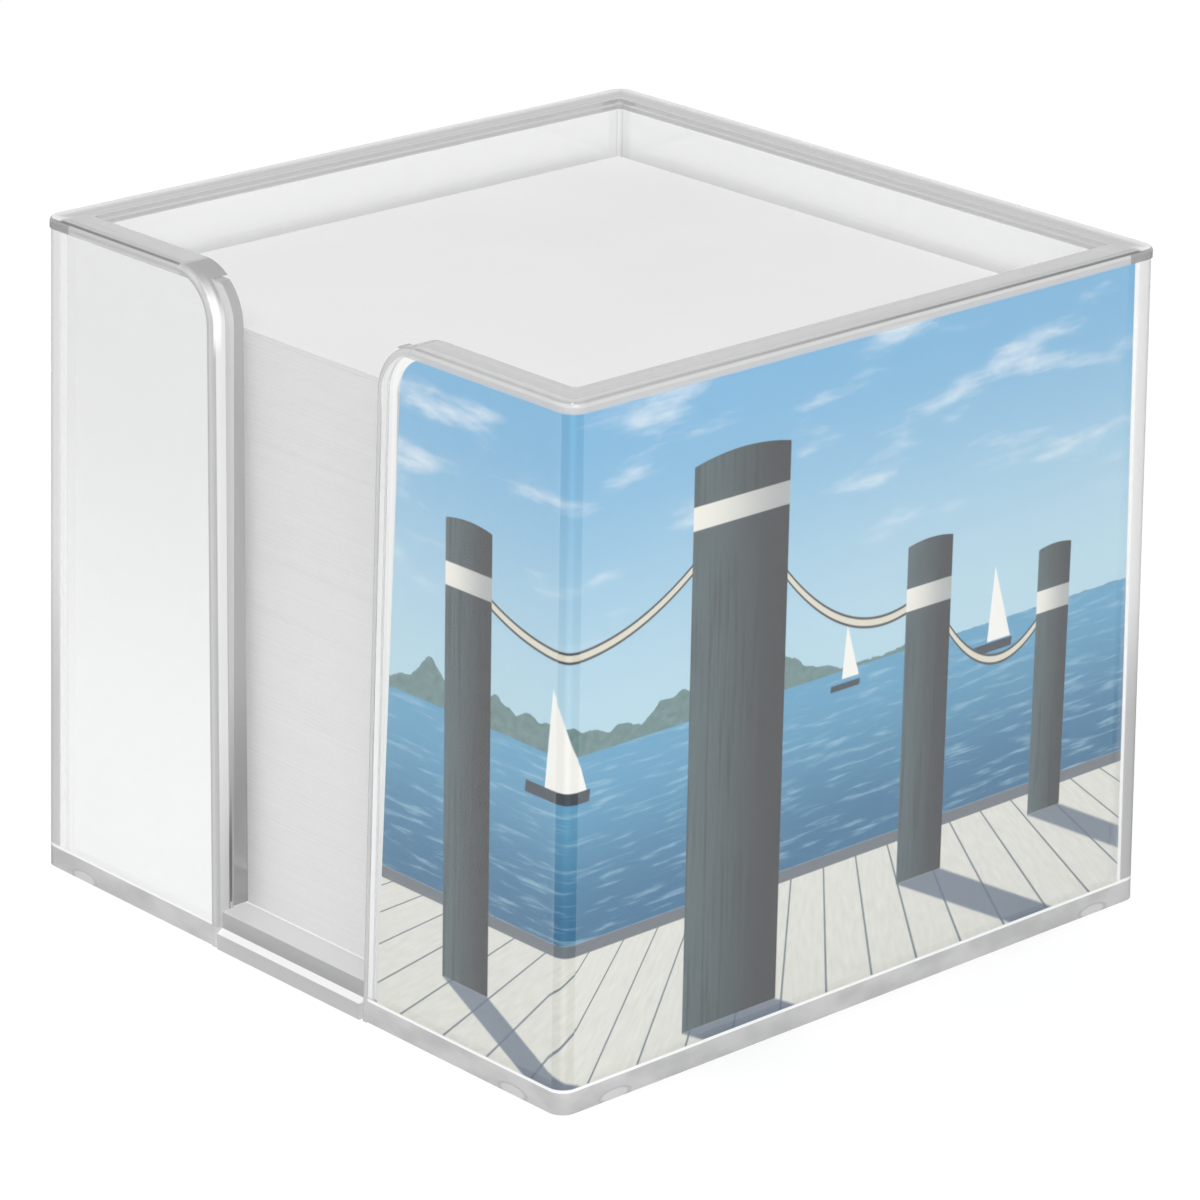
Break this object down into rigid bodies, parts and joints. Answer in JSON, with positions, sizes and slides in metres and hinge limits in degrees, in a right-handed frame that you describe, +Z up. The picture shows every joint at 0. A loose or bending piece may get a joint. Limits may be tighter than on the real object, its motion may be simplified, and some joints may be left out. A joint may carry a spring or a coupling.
{
  "type": "memo box",
  "caption": "Clear square desk memo box: a hood with a finger slot over an inner tray of loose note sheets, with a wrap-round card insert between them.",
  "frame": {"origin": "on the desk, under the middle of the box", "axes": "+Z up out of the paper opening, -Y out of the front through the finger slot, +X to the right seen from the front"},
  "size_m": [0.1032, 0.1035, 0.0904],
  "materials": {
    "clear_hood": "clear polished polystyrene",
    "clear_tray": "clear polished polystyrene",
    "clear_pad": "clear soft pad",
    "printed_card": "smooth white coated card, printed on its outside",
    "sheet_paper": "matt white uncoated paper"
  },
  "bodies": {
    "tray": {"inner_tray": "clear_tray", "corner_feet": "clear_pad"},
    "hood": {"outer_hood": "clear_hood"},
    "insert": {"wrap_insert": "printed_card"},
    "stack": {"paper_stack": "sheet_paper"},
    "sheet": {"top_sheet": "sheet_paper"}
  },
  "joints": [
    {"name": "hood_lift", "type": "slide", "parent": "tray", "child": "hood", "axis": [0, 0, 1], "range_m": [0, 0.2]},
    {"name": "insert_lift", "type": "slide", "parent": "tray", "child": "insert", "axis": [0, 0, 1], "range_m": [0, 0.1]},
    {"name": "stack_lift", "type": "slide", "parent": "tray", "child": "stack", "axis": [0, 0, 1], "range_m": [0, 0.09]},
    {"name": "sheet_lift", "type": "slide", "parent": "stack", "child": "sheet", "axis": [0, 0, 1], "range_m": [0, 0.06]}
  ],
  "couplings": [
    {"joint": "insert_lift", "follows": "hood_lift", "ratio": 0.5}
  ]
}
